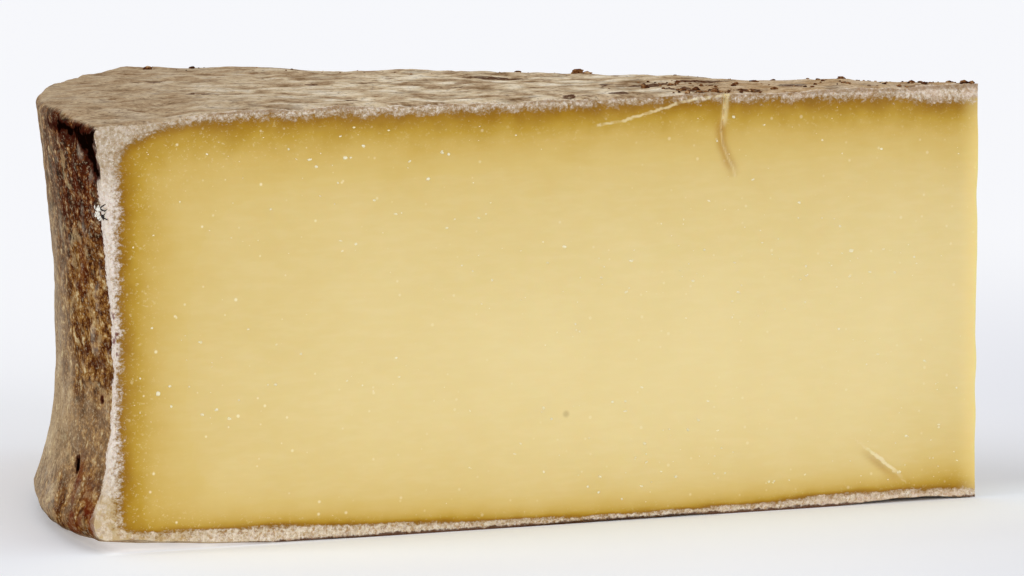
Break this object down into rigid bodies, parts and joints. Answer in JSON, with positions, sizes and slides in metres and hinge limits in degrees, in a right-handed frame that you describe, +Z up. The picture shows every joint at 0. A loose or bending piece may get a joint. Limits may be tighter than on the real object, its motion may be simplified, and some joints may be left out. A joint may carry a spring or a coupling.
{
  "type": "raclette cheese wedge",
  "caption": "Wedge cut from a wheel of hard cheese, with a hollow rind-covered heel, rind above and below and two flat cut faces that meet at the tip.",
  "frame": {"origin": "on the ground, under the middle of the wedge's box", "axes": "+X along the middle of the wedge to its tip, the axis of the old wheel; -X is the heel, -Y the side of the front cut face, +Y the side of the back cut face; +Z up, from the underside to the top rind"},
  "size_m": [0.1702, 0.1329, 0.0754],
  "materials": {
    "cheese": "smooth waxy pale yellow paste on the cut faces, dry rough grey-brown natural rind on the rest"
  },
  "bodies": {
    "root": {"cheese_wedge": "cheese"}
  },
  "joints": []
}
